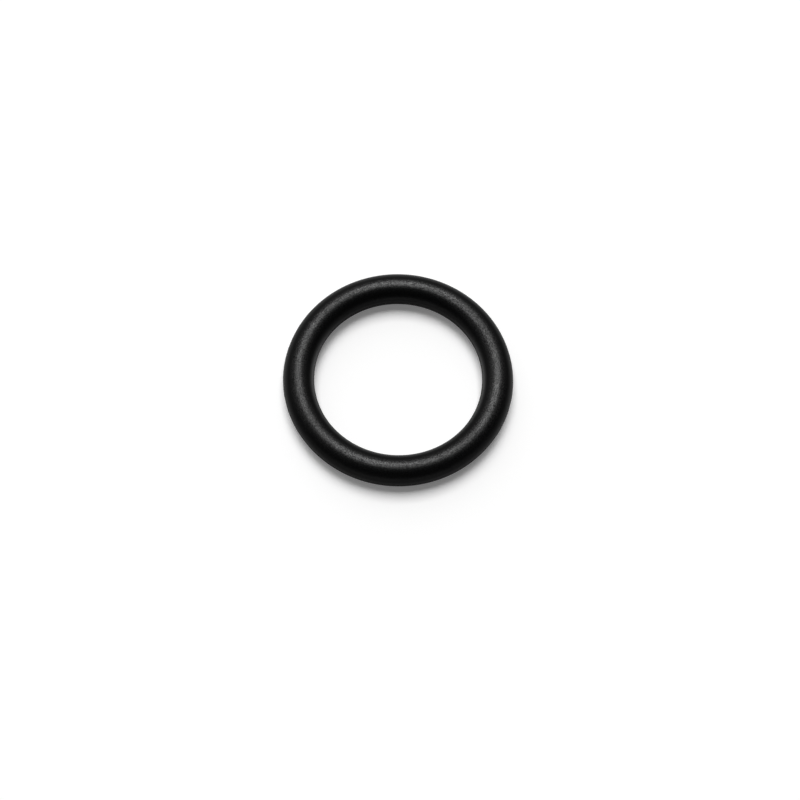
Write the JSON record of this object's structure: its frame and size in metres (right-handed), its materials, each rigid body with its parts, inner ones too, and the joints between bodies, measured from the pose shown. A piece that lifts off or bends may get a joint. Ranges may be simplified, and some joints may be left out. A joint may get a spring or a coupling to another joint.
{
  "type": "rubber o-ring",
  "caption": "Round-section rubber sealing ring, moulded in one piece, that seals the gap between a shaft or spigot and its bore.",
  "frame": {"origin": "centre of the ring, on the plane where the two halves of the mould met", "axes": "+Z along the ring's axis, upwards when the ring lies flat; X and Y lie in the ring's plane, and no direction in it differs from another"},
  "size_m": [0.03, 0.03, 0.004],
  "materials": {
    "rubber": "satin"
  },
  "bodies": {
    "root": {"o_ring": "rubber"}
  },
  "joints": []
}
